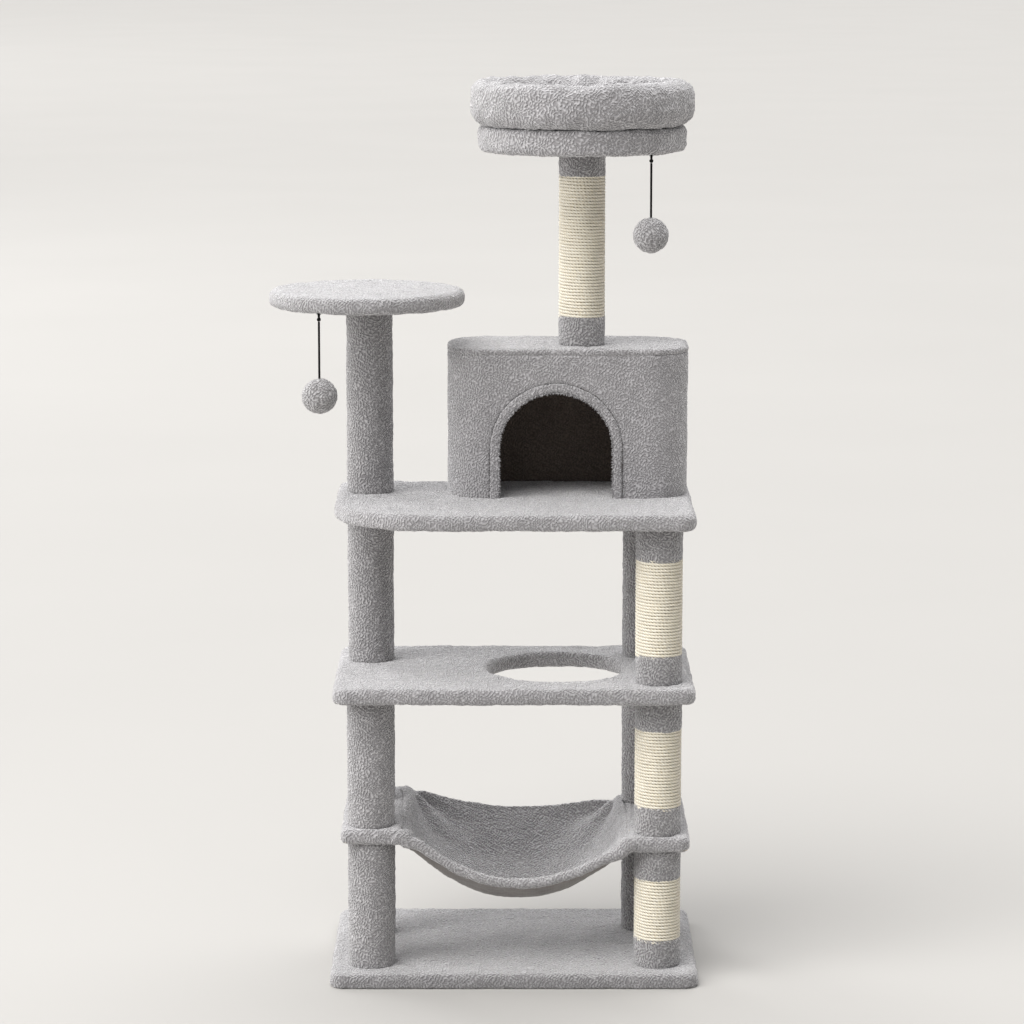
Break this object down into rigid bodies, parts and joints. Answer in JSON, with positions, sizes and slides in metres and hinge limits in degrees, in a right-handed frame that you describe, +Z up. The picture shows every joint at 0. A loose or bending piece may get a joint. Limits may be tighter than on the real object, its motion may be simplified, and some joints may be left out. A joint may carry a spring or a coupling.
{
  "type": "cat tree",
  "caption": "Tall plush-covered cat tree with sisal posts, sling hammock, climb-through shelf, small house, round perch, ring bed and hanging balls.",
  "frame": {"origin": "on the floor, under the middle of the whole outline in plan", "axes": "+Z up, +Y to the back, so the doorway and the hammock's open side face -Y; +X to the viewer's right"},
  "size_m": [0.688, 0.431, 1.439],
  "materials": {
    "plush": "short curly faux fur pile, light grey",
    "stuffed_plush": "plush ring stuffed with polyester fibre",
    "toy_plush": "plush over a light foam ball",
    "sisal_rope": "twisted natural sisal, wound tight",
    "particle_board": "raw particle board",
    "plywood": "raw plywood",
    "hardboard": "thin bent hardboard",
    "cardboard": "spiral-wound paper tube",
    "zinc_steel": "zinc-plated",
    "black_cord": "braided elastic cord, black",
    "lining_cloth": "thin non-woven cloth, near black"
  },
  "bodies": {
    "tree": {"bands_bed": "plush", "bands_lower_front_right": "plush", "bands_middle_front_right": "plush", "bands_upper_front_right": "plush", "base_board": "particle_board", "base_bolts": "zinc_steel", "base_cover": "plush", "base_lining": "lining_cloth", "base_washers": "zinc_steel", "bed_board": "particle_board", "bed_cover": "plush", "bed_ring": "stuffed_plush", "end_plugs": "plywood", "hammock_board_left": "particle_board", "hammock_board_right": "particle_board", "hammock_cloth": "plush", "house_cover": "plush", "house_door_binding": "plush", "house_lining": "lining_cloth", "house_roof_board": "particle_board", "house_roof_cover": "plush", "house_wall": "hardboard", "mid_shelf_board": "particle_board", "mid_shelf_cover": "plush", "perch_board": "particle_board", "perch_cover": "plush", "sisal_bed": "sisal_rope", "sisal_lower_front_right": "sisal_rope", "sisal_middle_front_right": "sisal_rope", "sisal_upper_front_right": "sisal_rope", "sleeve_lower_back_left": "plush", "sleeve_lower_back_right": "plush", "sleeve_lower_front_left": "plush", "sleeve_middle_back_left": "plush", "sleeve_middle_back_right": "plush", "sleeve_middle_front_left": "plush", "sleeve_perch": "plush", "sleeve_upper_back_right": "plush", "sleeve_upper_left": "plush", "tee_nuts": "zinc_steel", "threaded_rods": "zinc_steel", "toy_staples": "zinc_steel", "tube_bed": "cardboard", "tube_perch": "cardboard", "tubes_lower_left": "cardboard", "tubes_lower_right": "cardboard", "tubes_middle_left": "cardboard", "tubes_middle_right": "cardboard", "tubes_upper": "cardboard", "upper_shelf_board": "particle_board", "upper_shelf_cover": "plush"},
    "left_loop": {"toy_left_loop": "black_cord"},
    "left_ball": {"toy_left_cord": "black_cord", "toy_left_ball": "toy_plush"},
    "right_loop": {"toy_right_loop": "black_cord"},
    "right_ball": {"toy_right_cord": "black_cord", "toy_right_ball": "toy_plush"}
  },
  "joints": [
    {"name": "left_toy_fore_aft", "type": "hinge", "parent": "tree", "child": "left_loop", "pos_m": [-0.258, -0.126, 1.0735], "axis": [1, 0, 0], "range_deg": [-55, 55]},
    {"name": "left_toy_side", "type": "hinge", "parent": "left_loop", "child": "left_ball", "pos_m": [-0.258, -0.126, 1.0658], "axis": [0, 1, 0], "range_deg": [-55, 55]},
    {"name": "right_toy_fore_aft", "type": "hinge", "parent": "tree", "child": "right_loop", "pos_m": [0.266, -0.078, 1.3195], "axis": [1, 0, 0], "range_deg": [-55, 30]},
    {"name": "right_toy_side", "type": "hinge", "parent": "right_loop", "child": "right_ball", "pos_m": [0.266, -0.078, 1.3118], "axis": [0, 1, 0], "range_deg": [-55, 30]}
  ]
}
